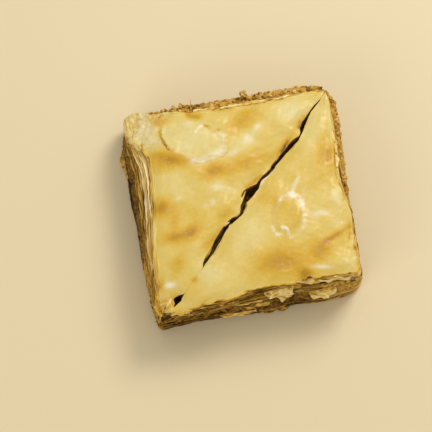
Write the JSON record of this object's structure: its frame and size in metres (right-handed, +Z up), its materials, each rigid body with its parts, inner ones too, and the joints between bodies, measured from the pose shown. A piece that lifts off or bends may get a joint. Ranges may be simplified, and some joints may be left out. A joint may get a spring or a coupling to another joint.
{
  "type": "baklava piece",
  "caption": "Square piece of baklava, cut corner to corner into two triangular halves that stay together, with layered filo above and below a chopped-nut filling.",
  "frame": {"origin": "under the middle of the piece, on the surface that it rests on", "axes": "+Z up through the layers; the diagonal cut runs from the +X +Y corner to the -X -Y corner"},
  "size_m": [0.0792, 0.0789, 0.0251],
  "materials": {
    "upper_filo": "crisp golden filo sheets, glazed with syrup, amber where browned",
    "nut_filling": "chopped walnuts bound with syrup, moist and crumbly",
    "lower_filo": "filo sheets soaked with syrup, softer and darker than the top"
  },
  "bodies": {
    "root": {"back_lower_filo": "lower_filo", "back_nut_filling": "nut_filling", "back_upper_filo": "upper_filo", "front_lower_filo": "lower_filo", "front_nut_filling": "nut_filling", "front_upper_filo": "upper_filo"}
  },
  "joints": []
}
